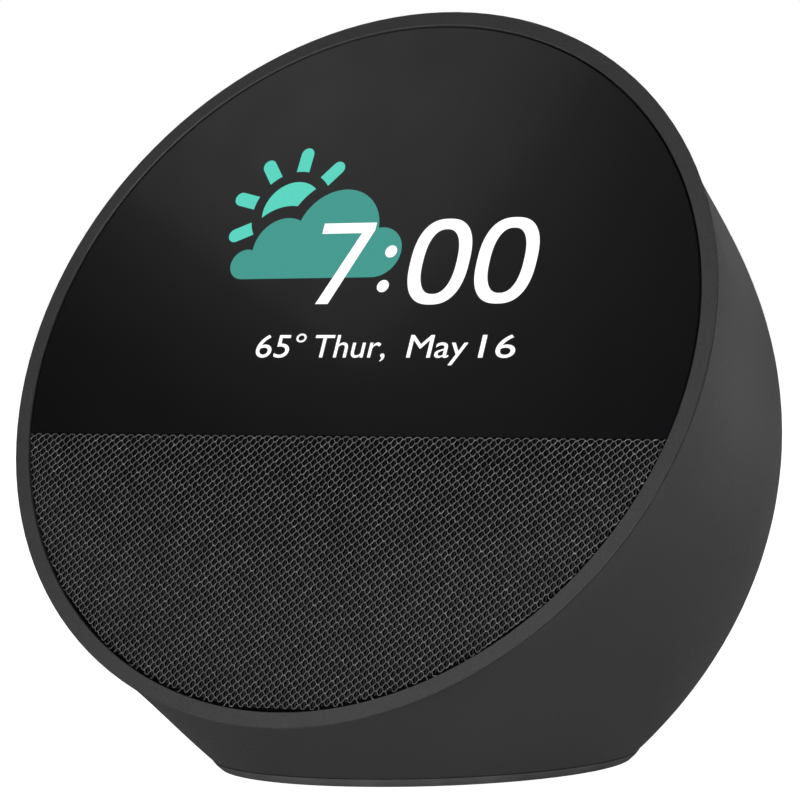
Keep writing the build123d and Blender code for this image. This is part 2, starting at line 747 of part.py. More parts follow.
with BuildPart() as button_board:
    with BuildSketch(button_plane(BUTTON_BOARD_Z)):
        RectangleRounded(2 * MIC_U + 5, 8.4, 1.5)
        with GridLocations(2 * BUTTON_POST_U, 0, 2, 1):
            Circle(SCREW_R + SCREW_GAP, mode=Mode.SUBTRACT)
        with GridLocations(2 * MIC_U, 0, 2, 1):
            Circle(0.4, mode=Mode.SUBTRACT)
    extrude(amount=-BUTTON_BOARD_THICK)
keep(button_board.part, "button_board")

button_screw_places = [
    Plane(
        origin=button_plane(BUTTON_BOARD_Z - BUTTON_BOARD_THICK, BUTTON_POST_U * side).origin,
        x_dir=(1, 0, 0),
        z_dir=-BUTTONS.z_dir,
    )
    for side in (-1, 1)
]
keep(screw_set(button_screw_places, SCREW_HEAD_H, 4.0), "button_board_screws")

with BuildPart() as microphones:
    with BuildSketch(button_plane(BUTTON_BOARD_Z - BUTTON_BOARD_THICK)):
        with GridLocations(2 * MIC_U, 0, 2, 1):
            Rectangle(MIC_L, MIC_W)
    extrude(amount=-MIC_H)
keep(microphones.part, "microphones")

with BuildPart() as microphone_boots:
    with BuildSketch(button_plane(BUTTON_BOARD_Z)):
        with GridLocations(2 * MIC_U, 0, 2, 1):
            Circle(BOOT_R)
            Circle(BOOT_BORE_R, mode=Mode.SUBTRACT)
    extrude(amount=BOOT_REACH)
    add(body_solid(WALL + 0.05), mode=Mode.INTERSECT)
keep(microphone_boots.part, "microphone_boots")

# ---- Power inlet: a cup snapped into the dome, with the jack behind its floor ----
JACK_FRONT_Y = INLET_FLOOR_Y - INLET_WALL
with BuildPart() as inlet_cup:
    with BuildSketch(Plane(origin=(0, JACK_FRONT_Y, INLET_Z), z_dir=(0, 1, 0))):
        Circle(INLET_R + INLET_WALL)
        Circle(JACK_BORE_R + JACK_MOUTH_GAP, mode=Mode.SUBTRACT)
    extrude(amount=INLET_REACH)
    with BuildSketch(Plane(origin=(0, INLET_FLOOR_Y, INLET_Z), z_dir=(0, 1, 0))):
        Circle(INLET_R)
    extrude(amount=INLET_REACH, mode=Mode.SUBTRACT)
    add(outer_body, mode=Mode.INTERSECT)
keep(inlet_cup.part, "inlet_cup")

with BuildPart() as dc_jack:
    with BuildSketch(Plane(origin=(0, JACK_FRONT_Y, INLET_Z), x_dir=(1, 0, 0), z_dir=(0, -1, 0))):
        Rectangle(JACK_W, JACK_H)
    extrude(amount=JACK_L)
    with BuildSketch(Plane(origin=(0, JACK_FRONT_Y, INLET_Z), x_dir=(1, 0, 0), z_dir=(0, -1, 0))):
        Circle(JACK_BORE_R)
    extrude(amount=JACK_DEPTH, mode=Mode.SUBTRACT)
    with BuildSketch(Plane(origin=(0, JACK_FRONT_Y, INLET_Z), x_dir=(1, 0, 0), z_dir=(0, -1, 0))):
        Circle(JACK_PIN_R)
    extrude(amount=JACK_L, mode=Mode.SUBTRACT)
keep(dc_jack.part, "dc_jack")

with BuildPart() as dc_jack_pin:
    pin_tip = (0, JACK_FRONT_Y - JACK_PIN_SET, INLET_Z)
    with BuildSketch(Plane(origin=pin_tip, x_dir=(1, 0, 0), z_dir=(0, -1, 0))):
        Circle(JACK_PIN_R)
    extrude(amount=JACK_L - JACK_PIN_SET)
    fillet(dc_jack_pin.edges().filter_by(GeomType.CIRCLE).sort_by(Axis.Y)[-1], 0.5)
keep(dc_jack_pin.part, "dc_jack_pin")

JACK_BOARD_Y = JACK_FRONT_Y - JACK_L
with BuildPart() as jack_board:
    with BuildSketch(Plane.XY.offset(INLET_Z - JACK_H / 2)):
        with Locations((0, JACK_FRONT_Y - JACK_L / 2 - 3)):
            RectangleRounded(16, JACK_L - 1, 1.0)
    extrude(amount=-JACK_BOARD_THICK)
keep(jack_board.part, "jack_board")

# ---- Base ----
with BuildPart() as base_plate:
    with BuildSketch(Plane.XY.offset(SEAM_Z)):
        Circle(BASE_PLATE_R)
    extrude(amount=BASE_PLATE_THICK)
    with BuildSketch(Plane.XY.offset(SEAM_Z)):
        with PolarLocations(BASE_SCREW_R, 4, start_angle=45):
            Circle(SCREW_HEAD_R + SCREW_GAP)
    extrude(amount=SCREW_HEAD_H + 0.1, mode=Mode.SUBTRACT)
    with BuildSketch(Plane.XY.offset(SEAM_Z)):
        with PolarLocations(BASE_SCREW_R, 4, start_angle=45):
            Circle(SCREW_R + SCREW_GAP)
    extrude(amount=BASE_PLATE_THICK, mode=Mode.SUBTRACT)
keep(base_plate.part, "base_plate")

base_screw_places = [
    Plane(
        origin=(
            BASE_SCREW_R * cos(radians(45 + 90 * k)),
            BASE_SCREW_R * sin(radians(45 + 90 * k)),
            SEAM_Z + SCREW_HEAD_H + 0.1,
        ),
        x_dir=(1, 0, 0),
        z_dir=(0, 0, -1),
    )
    for k in range(4)
]
keep(screw_set(base_screw_places, SCREW_HEAD_H, 6.0), "base_screws")

# Rubber foot: a plain disc with a two-step side, glued over the base screws.
FOOT_STEP = (FOOT_R - 0.45, 0.66)
with BuildPart() as base_foot:
    with BuildSketch(Plane.XZ):
        with BuildLine():
            Polyline((0, 0), (FOOT_SOLE_R, 0), FOOT_STEP, (FOOT_R, FOOT_TOP), (0, FOOT_TOP), close=True)
        make_face()
    revolve(axis=Axis.Z)
keep(base_foot.part, "base_foot")

with BuildPart() as ballast_weight:
    with BuildSketch(Plane.XY.offset(BASE_PLATE_TOP)):
        Circle(BALLAST_R)
        Circle(BALLAST_HOLE_R, mode=Mode.SUBTRACT)
    extrude(amount=BALLAST_THICK)
keep(ballast_weight.part, "ballast_weight")

# ---- Internal leads ----
LEAD_R = 0.9


def lead(points, radii):
    """A twin lead as one round tube along straight runs joined by tangent arcs."""
    with BuildPart() as tube:
        with BuildLine():
            route = FilletPolyline(*points, radius=radii)
        with BuildSketch(Plane(origin=route @ 0, z_dir=route % 0)):
            Circle(LEAD_R)
        sweep(path=route)
    return tube.part


jack_top = FACE.from_local_coords((-7.0, -1.2, -(BOARD_BACK + 2.2)))
jack_route = [
    (0, JACK_BOARD_Y, INLET_Z + 2.5),
    (0, JACK_BOARD_Y - 7, INLET_Z + 2.5),
    (-3, JACK_BOARD_Y - 14, INLET_Z + 12),
    (-6.5, jack_top.Y + 12, jack_top.Z - 10),
    (jack_top.X, jack_top.Y, jack_top.Z),
]
keep(lead(jack_route, [4.0, 8.0, 6.0]), "jack_lead")

os.makedirs("parts", exist_ok=True)
for piece in parts:
    export_step(piece, "parts/" + piece.label + ".step")
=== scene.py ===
import json
from math import acos, atan2, cos, hypot, pi, radians, sin, sqrt

import bmesh
import bpy
from mathutils import Matrix, Vector, noise


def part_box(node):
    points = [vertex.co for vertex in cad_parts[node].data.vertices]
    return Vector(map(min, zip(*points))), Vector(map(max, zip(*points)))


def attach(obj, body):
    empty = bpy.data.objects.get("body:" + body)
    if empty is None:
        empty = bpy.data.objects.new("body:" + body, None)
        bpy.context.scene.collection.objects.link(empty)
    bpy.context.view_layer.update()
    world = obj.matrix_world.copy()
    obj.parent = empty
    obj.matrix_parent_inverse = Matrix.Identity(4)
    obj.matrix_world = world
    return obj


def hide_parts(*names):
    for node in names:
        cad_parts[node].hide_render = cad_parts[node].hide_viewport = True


# Smart display: a dark dome with a round leaning face, a gloss lens that shows the time
# and the weather, and a knitted grille below it.
# Lengths on the face are in millimetres from its centre: u to the right, v up its slope,
# depth behind the ring's front. Everything else is in metres, as in the frame.

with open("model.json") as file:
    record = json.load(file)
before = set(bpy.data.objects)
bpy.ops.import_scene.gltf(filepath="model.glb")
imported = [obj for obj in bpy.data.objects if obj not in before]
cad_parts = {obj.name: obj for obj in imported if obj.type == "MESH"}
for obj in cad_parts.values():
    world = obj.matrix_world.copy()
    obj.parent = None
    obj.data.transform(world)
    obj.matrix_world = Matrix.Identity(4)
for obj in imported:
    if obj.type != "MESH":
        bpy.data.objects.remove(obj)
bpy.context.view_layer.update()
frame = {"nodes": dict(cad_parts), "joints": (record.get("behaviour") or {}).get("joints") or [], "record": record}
MM = 0.001
HOUSING = "housing"

# ---- The face, read from the frame ----
joints = {joint["name"]: joint for joint in frame["joints"]}
FACE_OUT = Vector(joints["diaphragm_travel"]["axis"]).normalized()
FACE_RIGHT = Vector((1, 0, 0))
FACE_UP = FACE_OUT.cross(FACE_RIGHT)


def node_front(name):
    """How far a CAD node reaches along the face's outward direction."""
    return max(v.co.dot(FACE_OUT) for v in frame["nodes"][name].data.vertices)


def box_middle(name):
    """The middle of a CAD node's box."""
    low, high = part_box(name)
    return (low + high) / 2


RING_MIDDLE = box_middle("bezel_ring")
FACE_CENTRE = RING_MIDDLE + FACE_OUT * (node_front("bezel_ring") - RING_MIDDLE.dot(FACE_OUT))


def on_face(u, v, depth=0.0):
    """A point of the face, in metres in the row frame."""
    return FACE_CENTRE + (FACE_RIGHT * u + FACE_UP * v - FACE_OUT * depth) * MM


LENS_DEPTH = (node_front("bezel_ring") - node_front("cover_lens")) / MM
CLOTH_DEPTH = (node_front("bezel_ring") - node_front("grille_cloth")) / MM
cloth_offsets = [(v.co - FACE_CENTRE) / MM for v in frame["nodes"]["grille_cloth"].data.vertices]
CHORD_V = max(p.dot(FACE_UP) for p in cloth_offsets)
CLOTH_R = max(hypot(p.dot(FACE_UP), p.dot(FACE_RIGHT)) for p in cloth_offsets)

# ---- Camera: a long lens, from the right and a little above ----
YAW = radians(30.642)
PITCH = radians(3.234)
ROLL = radians(-1.588)
CAMERA_DISTANCE = 0.78923
AIM_RIGHT = 6.285 * MM
AIM_UP = -5.855 * MM
LENS_MM = 248.96
CLIP_NEAR = 0.01
CLIP_FAR = 20


def matrix_from(x_axis, y_axis, z_axis, origin):
    """A transform whose local axes are these directions."""
    turn = Matrix((x_axis, y_axis, z_axis)).transposed().to_4x4()
    turn.translation = origin
    return turn


def make_camera():
    """The camera, aimed beside the face's centre and rolled a little."""
    ahead = Vector((-sin(YAW) * cos(PITCH), cos(YAW) * cos(PITCH), -sin(PITCH)))
    level = Vector((cos(YAW), sin(YAW), 0))
    upright = level.cross(ahead)
    right = level * cos(ROLL) + upright * sin(ROLL)
    up = upright * cos(ROLL) - level * sin(ROLL)
    aim = FACE_CENTRE + right * AIM_RIGHT + up * AIM_UP
    data = bpy.data.cameras.new("camera")
    data.lens = LENS_MM
    data.clip_start = CLIP_NEAR
    data.clip_end = CLIP_FAR
    camera = bpy.data.objects.new("camera", data)
    camera.matrix_world = matrix_from(right, up, -ahead, aim - ahead * CAMERA_DISTANCE)
    bpy.context.scene.collection.objects.link(camera)
    bpy.context.scene.camera = camera


# ---- Shader graphs ----
WAVE_PERIOD = 0.314      # a wave texture of scale 1 repeats after this many metres


class Graph:
    """One material's nodes: adds them by kind and links sockets given as inputs."""

    def __init__(self, name):
        self.material = bpy.data.materials.new(name)
        self.material.use_nodes = True
        self.tree = self.material.node_tree
        self.shader = self.tree.nodes["Principled BSDF"]
        self.place = self.add("TexCoord").outputs["Object"]

    def add(self, kind, settings=None, **inputs):
        node = self.tree.nodes.new("ShaderNode" + kind)
        for key, value in (settings or {}).items():
            setattr(node, key, value)
        self.fill(node, inputs)
        return node

    def fill(self, node, inputs):
        for key, value in inputs.items():
            socket = node.inputs[key.replace("_", " ")]
            if isinstance(value, bpy.types.NodeSocket):
                self.tree.links.new(value, socket)
            else:
                socket.default_value = value

    def finish(self, **inputs):
        self.fill(self.shader, inputs)
        return self.material

    def noise(self, size, detail=2.0, roughness=0.5, stretch=None):
        """Noise from 0 to 1 whose features are about size metres, stretched along X, Y, Z."""
        place = self.place
        if stretch:
            place = self.add("Mapping", Vector=place, Scale=stretch).outputs[0]
        made = self.add("TexNoise", Vector=place, Scale=1 / size, Detail=detail, Roughness=roughness)
        return made.outputs["Fac"]

    def between(self, factor, low, high, start=0.3, end=0.7):
        """A number that goes from low to high as factor goes from start to end."""
        made = self.add("MapRange", Value=factor, From_Min=start, From_Max=end, To_Min=low, To_Max=high)
        return made.outputs[0]

    def blend(self, factor, first, second, mode="MIX"):
        """A colour between two others."""
        made = self.add("Mix", {"data_type": "RGBA", "blend_type": mode})
        values = {made.inputs["Factor"]: factor}
        colours = [s for s in made.inputs if s.type == "RGBA"]
        values[colours[0]] = first
        values[colours[1]] = second
        for socket, value in values.items():
            if isinstance(value, bpy.types.NodeSocket):
                self.tree.links.new(value, socket)
            elif socket.type == "RGBA":
                socket.default_value = (*value[:3], 1)
            else:
                socket.default_value = value
        return [s for s in made.outputs if s.type == "RGBA"][0]

    def bump(self, height, depth, strength=1.0, under=None):
        """A normal roughened by height, depth metres high."""
        inputs = {"Height": height, "Distance": depth, "Strength": strength}
        if under:
            inputs["Normal"] = under
        return self.add("Bump", **inputs).outputs[0]


def shade(colour, factor):
    """A colour made lighter or darker."""
    return tuple(min(1, c * factor) for c in colour[:3])


def moulded(name, colour, roughness=0.5, grain=0.16 * MM, depth=0.012 * MM, mottle=0.06, speckle=0.35):
    """Moulded plastic: fine spark-eroded grain, faint flow mottle and dust-fine sparkle."""
    g = Graph(name)
    flow = g.noise(size=22 * MM, detail=3)
    fine = g.noise(size=grain, detail=2, roughness=0.6)
    speck = g.noise(size=grain * 2.3, detail=1)
    base = g.blend(g.between(flow, 0, 1), shade(colour, 1 - mottle), shade(colour, 1 + mottle))
    grained = g.blend(g.between(fine, 0, 1), base, shade(colour, 1.45))
    rough = g.between(speck, roughness - 0.05, roughness + 0.06)
    normal = g.bump(fine, depth, strength=0.8)
    return g.finish(Base_Color=g.blend(speckle, base, grained), Roughness=rough, Normal=normal)


def gloss_lens(name, colour):
    """Black-backed lens: polished, with a trace of orange peel and smear."""
    g = Graph(name)
    smear = g.noise(size=9 * MM, detail=4, roughness=0.6, stretch=(1, 1, 0.5))
    peel = g.noise(size=3.2 * MM, detail=1)
    return g.finish(Base_Color=(*colour[:3], 1), Roughness=g.between(smear, 0.2, 0.235),
                    Normal=g.bump(peel, depth=0.0006 * MM, strength=0.5), Specular_IOR_Level=0.5,
                    Coat_Weight=0.12, Coat_Roughness=0.06)


def rubber(name, colour, roughness=0.75):
    """Soft moulded rubber with a dusty bloom."""
    g = Graph(name)
    bloom = g.noise(size=6 * MM, detail=4)
    fine = g.noise(size=0.22 * MM, detail=3, roughness=0.65)
    base = g.blend(g.between(bloom, 0, 1), shade(colour, 0.85), shade(colour, 1.25))
    return g.finish(Base_Color=base, Roughness=g.between(fine, roughness - 0.08, roughness + 0.1),
                    Normal=g.bump(fine, depth=0.02 * MM, strength=0.7), Specular_IOR_Level=0.35)


def drawn_metal(name, colour, roughness=0.3, stretch=(1, 14, 14)):
    """Rolled or plated sheet with drawing lines and light tarnish."""
    g = Graph(name)
    lines = g.noise(size=1.2 * MM, detail=4, roughness=0.6, stretch=stretch)
    tarnish = g.noise(size=5 * MM, detail=3)
    base = g.blend(g.between(tarnish, 0, 1), shade(colour, 0.82), colour)
    rough = g.between(lines, roughness - 0.08, roughness + 0.14)
    return g.finish(Base_Color=base, Metallic=1.0, Roughness=rough,
                    Normal=g.bump(lines, depth=0.006 * MM, strength=0.5))


def cast(name, colour, roughness=0.6):
    """Sintered or cast grey metal with a pitted skin."""
    g = Graph(name)
    pits = g.add("TexVoronoi", Vector=g.place, Scale=1 / (0.7 * MM)).outputs["Distance"]
    tone = g.noise(size=3 * MM, detail=4)
    base = g.blend(g.between(tone, 0, 1), shade(colour, 0.8), shade(colour, 1.2))
    rough = g.between(tone, roughness - 0.1, roughness + 0.1)
    return g.finish(Base_Color=base, Metallic=0.3, Roughness=rough,
                    Normal=g.bump(pits, depth=0.03 * MM, strength=0.6))


PAD_TONE = (0.62, 0.5, 0.3)


def circuit_board(name, colour):
    """Solder mask with tracks showing faintly through it and bare pads."""
    g = Graph(name)
    tracks = g.add("TexBrick", {"offset": 0.37}, Vector=g.place, Scale=1 / (2.4 * MM), Mortar_Size=0.12)
    pads = g.add("TexVoronoi", Vector=g.place, Scale=1 / (1.6 * MM)).outputs["Distance"]
    mask = g.blend(tracks.outputs["Fac"], colour, shade(colour, 1.7))
    pad = g.between(pads, 1, 0, start=0.1, end=0.14)
    base = g.blend(pad, mask, PAD_TONE)
    return g.finish(Base_Color=base, Roughness=g.between(pads, 0.3, 0.45, start=0, end=0.6),
                    Metallic=pad, Normal=g.bump(tracks.outputs["Fac"], depth=0.02 * MM, strength=0.4))


def woven(name, colour, pitch=0.5 * MM, gloss=0.3):
    """Dipped or plain-woven cloth: crossing threads, fuzzy and dull."""
    g = Graph(name)
    scale = WAVE_PERIOD / pitch
    warp = g.add("TexWave", {"bands_direction": "X"}, Vector=g.place, Scale=scale, Distortion=0.6)
    weft = g.add("TexWave", {"bands_direction": "Z"}, Vector=g.place, Scale=scale, Distortion=0.6)
    both = g.add("Math", {"operation": "MAXIMUM"})
    g.tree.links.new(warp.outputs["Fac"], both.inputs[0])
    g.tree.links.new(weft.outputs["Fac"], both.inputs[1])
    fuzz = g.noise(size=0.12 * MM, detail=2)
    base = g.blend(both.outputs[0], shade(colour, 0.45), colour)
    return g.finish(Base_Color=base, Roughness=g.between(fuzz, 0.75, 0.95), Specular_IOR_Level=gloss,
                    Normal=g.bump(both.outputs[0], depth=0.05 * MM, strength=0.8))


FILAMENT_PITCH = 0.11 * MM


def knit_thread(name, colour):
    """Polyester thread of the net: twisted filaments, with painted highlights on some of them where they would
    catch the light.
    """
    g = Graph(name)
    twist = g.add("TexWave", {"bands_direction": "DIAGONAL"}, Vector=g.place,
                  Scale=WAVE_PERIOD / FILAMENT_PITCH, Distortion=1.5)
    lot = g.noise(size=2.6 * MM, detail=3, roughness=0.7)
    # mask of the painted highlights: random spots of the thread where glints of light are painted
    painted_glint = g.noise(size=0.55 * MM, detail=2, roughness=0.6)
    base = g.blend(g.between(lot, 0, 1), shade(colour, 0.7), shade(colour, 1.15))
    # painted highlight: the thread's colour made 2.3 times lighter in those spots, standing in for glints of light
    base = g.blend(g.between(painted_glint, 0, 1, start=0.56, end=0.72), base, shade(colour, 2.3))
    base = g.blend(g.between(twist.outputs["Fac"], 0.35, 0.0, start=0, end=1), base, shade(colour, 0.5))
    return g.finish(Base_Color=base, Roughness=g.between(lot, 0.5, 0.7), Specular_IOR_Level=0.2,
                    Normal=g.bump(twist.outputs["Fac"], depth=0.012 * MM, strength=0.6))


WIRE_PITCH = 0.2 * MM


def copper_winding(name, colour):
    """Enamelled wire wound in even turns."""
    g = Graph(name)
    turns = g.add("TexWave", {"bands_direction": "Y"}, Vector=g.place, Scale=WAVE_PERIOD / WIRE_PITCH)
    enamel = g.noise(size=1.5 * MM, detail=2)
    base = g.blend(turns.outputs["Fac"], shade(colour, 0.5), colour)
    return g.finish(Base_Color=base, Metallic=1.0, Roughness=g.between(enamel, 0.25, 0.4),
                    Normal=g.bump(turns.outputs["Fac"], depth=0.04 * MM))


def lit(name, colour, strength):
    """A lit area of the picture behind the lens, with a trace of pixel grid."""
    g = Graph(name)
    grid = g.noise(size=0.35 * MM, detail=1)
    tone = g.blend(g.between(grid, 0, 1), shade(colour, 0.97), colour)
    return g.finish(Base_Color=(0, 0, 0, 1), Roughness=0.3, Specular_IOR_Level=0.2,
                    Emission_Color=tone, Emission_Strength=strength)


# ---- Materials by the record's slots ----
base_colours = {m["slot"]: m["base_color"] for m in frame["record"]["materials"]}
SHELL_TONE = (0.05, 0.05, 0.052)
RING_TONE = (0.05, 0.05, 0.052)
FOOT_TONE = (0.11, 0.11, 0.111)
ANTENNA_TONE = (0.06, 0.06, 0.07)
THREAD_TONE = (0.26, 0.26, 0.262)
LAID_TONE = (0.03, 0.03, 0.0306)
BACKING_TONE = (0.004, 0.004, 0.0041)

finishes = {
    "shell_plastic": lambda n, c: moulded(n, SHELL_TONE, 0.5, 0.15 * MM, 0.006 * MM),
    "ring_plastic": lambda n, c: moulded(n, RING_TONE, 0.46, 0.3 * MM, 0.03 * MM, 0.1, speckle=1.0),
    "button_plastic": lambda n, c: moulded(n, SHELL_TONE, 0.5, 0.15 * MM, 0.006 * MM),
    "frame_plastic": lambda n, c: moulded(n, c, 0.6, 0.3 * MM, 0.02 * MM),
    "connector_nylon": lambda n, c: moulded(n, c, 0.42, 0.2 * MM, 0.008 * MM),
    "chip_resin": lambda n, c: moulded(n, c, 0.55, 0.1 * MM, 0.01 * MM),
    "antenna_board": lambda n, c: circuit_board(n, ANTENNA_TONE),
    "lens_glass": gloss_lens,
    "panel_glass": gloss_lens,
    "flex_film": lambda n, c: moulded(n, c, 0.28, 0.6 * MM, 0.004 * MM, 0.15),
    "lead_pvc": lambda n, c: moulded(n, c, 0.35, 0.5 * MM, 0.01 * MM),
    "adhesive_film": rubber,
    "foam": lambda n, c: rubber(n, c, 0.88),
    "foot_rubber": lambda n, c: rubber(n, FOOT_TONE),
    "surround_rubber": lambda n, c: rubber(n, c, 0.6),
    "thermal_pad": rubber,
    "grille_cloth": lambda n, c: woven(n, BACKING_TONE, 0.32 * MM, 0.02),
    "spider_cloth": lambda n, c: woven(n, c, 0.45 * MM),
    "cone_paper": lambda n, c: rubber(n, c, 0.8),
    "basket_steel": lambda n, c: moulded(n, c, 0.4, 0.4 * MM, 0.012 * MM),
    "backlight_steel": drawn_metal,
    "plated_steel": drawn_metal,
    "screw_steel": lambda n, c: drawn_metal(n, c, 0.38, (6, 6, 6)),
    "tin_plate": lambda n, c: drawn_metal(n, c, 0.26),
    "aluminium": lambda n, c: drawn_metal(n, c, 0.36, (14, 1, 14)),
    "copper": copper_winding,
    "ferrite": cast,
    "ballast_iron": lambda n, c: cast(n, c, 0.5),
    "board_green": circuit_board,
}


def paint_nodes():
    """Every CAD node gets the procedural finish of its slot."""
    made = {}
    for row in frame["record"]["subparts"]:
        slot_name = row["material_slot"]
        if slot_name not in made:
            made[slot_name] = finishes[slot_name](slot_name, base_colours[slot_name])
        for slot in frame["nodes"][row["node"]].material_slots:
            slot.material = made[slot_name]
    return made


# ---- Mesh helpers ----
def new_piece(name, mesh_graph, material, smooth=False):
    """Turn a bmesh into a named piece with one material."""
    mesh = bpy.data.meshes.new(name)
    bmesh.ops.recalc_face_normals(mesh_graph, faces=mesh_graph.faces)
    mesh_graph.to_mesh(mesh)
    mesh_graph.free()
    mesh.materials.append(material)
    for polygon in mesh.polygons:
        polygon.use_smooth = smooth
    piece = bpy.data.objects.new(name, mesh)
    bpy.context.scene.collection.objects.link(piece)
    return piece


def plate(target, outlines, depth, thickness):
    """A thin plate on the face: the first outline is its edge, the others are its holes."""
    loops = []
    for outline in outlines:
        verts = [target.verts.new(on_face(u, v, depth)) for u, v in outline]
        loops.append([target.edges.new((a, b)) for a, b in zip(verts, verts[1:] + verts[:1])])
    filled = bmesh.ops.triangle_fill(target, edges=[e for loop in loops for e in loop], use_beauty=True)
    faces = [f for f in filled["geom"] if isinstance(f, bmesh.types.BMFace)]
    grown = bmesh.ops.extrude_face_region(target, geom=faces)["geom"]
    for item in grown:
        if isinstance(item, bmesh.types.BMVert):
            item.co -= FACE_OUT * thickness * MM
    for face in faces:
        if not face.is_valid:
            raise RuntimeError("a plate lost its front")


def arc(centre, radius, start, end, steps=24):
    """Points along an arc, angles in radians, both ends included."""
    angles = [start + (end - start) * k / steps for k in range(steps + 1)]
    return [(centre[0] + radius * cos(angle), centre[1] + radius * sin(angle)) for angle in angles]


def upper_meet(c0, r0, c1, r1):
    """The higher of the two points where circles meet."""
    dx, dy = c1[0] - c0[0], c1[1] - c0[1]
    d = hypot(dx, dy)
    along = (d * d + r0 * r0 - r1 * r1) / (2 * d)
    across = sqrt(max(0.0, r0 * r0 - along * along))
    points = [
        (c0[0] + (along * dx - s * across * dy) / d, c0[1] + (along * dy + s * across * dx) / d)
        for s in (-1, 1)
    ]
    return max(points, key=lambda p: p[1])


def heading(centre, point):
    """Angle of a point seen from a centre."""
    return atan2(point[1] - centre[1], point[0] - centre[0])


# ---- The picture behind the lens ----
PICTURE_THICK = 0.02
CLOUD_LOBES = [((-0.93, 17.05), 4.0), ((-8.54, 20.35), 6.93), ((-17.29, 17.86), 4.89), ((-22.95, 15.28), 2.4)]
SUN_CENTRE = (-17.15, 23.68)
SUN_R = 4.95
SUN_GAP = 2.0
RAY_ANGLES = (49, 88, 127, 166, 203)
RAY_START = 6.65
RAY_END = 10.5
RAY_W = 2.14
CLOUD_DEPTH = LENS_DEPTH - 0.02
DIGIT_DEPTH = LENS_DEPTH - 0.05
WHITE = (1, 1, 1)
CLOUD_TONE = (0.062, 0.33, 0.28)
SUN_TONE = (0.11, 0.68, 0.54)
WHITE_STRENGTH = 1.15
TINT_STRENGTH = 1.0


def cloud_outline():
    """Four overlapping lobes on a flat base, walked from the right end over the top."""
    points = []
    start = -pi / 2
    for (centre, radius), following in zip(CLOUD_LOBES, CLOUD_LOBES[1:] + [None]):
        if following:
            meet = upper_meet(centre, radius, *following)
            points += arc(centre, radius, start, start + (heading(centre, meet) - start) % (2 * pi))[:-1]
            start = heading(following[0], meet)
        else:
            points += arc(centre, radius, start, start + (1.5 * pi - start) % (2 * pi))
    return points


def sun_outline():
    """The sun's disc, cut off along the outline of the cloud a gap away."""
    high = (CLOUD_LOBES[1][0], CLOUD_LOBES[1][1] + SUN_GAP)
    low = (CLOUD_LOBES[2][0], CLOUD_LOBES[2][1] + SUN_GAP)
    right = upper_meet(SUN_CENTRE, SUN_R, *high)
    notch = upper_meet(*high, *low)
    # the disc and the low lobe's gap circle meet on the left, a little above the disc's foot
    dx, dy = low[0][0] - SUN_CENTRE[0], low[0][1] - SUN_CENTRE[1]
    d = hypot(dx, dy)
    swing = acos((d * d + SUN_R ** 2 - low[1] ** 2) / (2 * d * SUN_R))
    left_angle = atan2(dy, dx) % (2 * pi) - swing
    left = (SUN_CENTRE[0] + SUN_R * cos(left_angle), SUN_CENTRE[1] + SUN_R * sin(left_angle))
    points = arc(SUN_CENTRE, SUN_R, heading(SUN_CENTRE, right), left_angle, steps=36)
    points += arc(low[0], low[1], heading(low[0], left), heading(low[0], notch), steps=14)[1:]
    points += arc(high[0], high[1], heading(high[0], notch), heading(high[0], right), steps=10)[1:-1]
    return points


def ray_outline(angle):
    """One ray: straight sides, a hollow inner end and a rounded outer end."""
    half = RAY_W / 2
    end_arc = arc((RAY_END - half, 0), half, -pi / 2, pi / 2, steps=10)
    lean = half / RAY_START
    start_arc = arc((0, 0), RAY_START, lean, -lean, steps=4)
    c, s = cos(radians(angle)), sin(radians(angle))
    return [
        (SUN_CENTRE[0] + x * c - y * s, SUN_CENTRE[1] + x * s + y * c) for x, y in end_arc + start_arc
    ]


def oval(u, v, half_w, half_h, squareness, steps=64):
    """A squared-off oval, by the superellipse formula."""
    points = []
    for k in range(steps):
        c, s = cos(2 * pi * k / steps), sin(2 * pi * k / steps)
        points.append((
            u + half_w * (abs(c) ** (2 / squareness)) * (1 if c >= 0 else -1),
            v + half_h * (abs(s) ** (2 / squareness)) * (1 if s >= 0 else -1),
        ))
    return points


DIGIT_STROKE = 2.07
DIGIT_CROSS_STROKE = 1.66
ZERO_W = 9.72
ZERO_H = 13.66
ZERO_SPOTS = ((9.93, 15.45), (20.9, 15.57))
COLON_SPOTS = ((1.43, 17.14), (1.45, 11.6))
COLON_R = 0.97
ZERO_SQUARENESS = 2.5
ZERO_HOLE_SQUARENESS = 2.4
ROUND = 2                # the squareness of a plain oval
SEVEN = [
    (-10.93, 21.76), (-2.14, 21.82), (-2.14, 20.6), (-7.1, 8.79),
    (-9.18, 8.79), (-4.2, 20.15), (-10.93, 20.1),
]

SMALL_LINE = (
    # (piece, word, left end, width)
    ("picture_line_3", "65°", -17.25, 8.05),
    ("picture_line_12", "Thur,", -7.65, 12.2),
    ("picture_line_28", "May", 8.17, 9.65),
    ("picture_line_40", "16", 19.9, 5.8),
)
SMALL_BASE_V = 0.27
SMALL_CAP = 3.8
CAP_OF_FONT = 0.729      # cap height of the built-in font at size 1
WELD = 1e-5


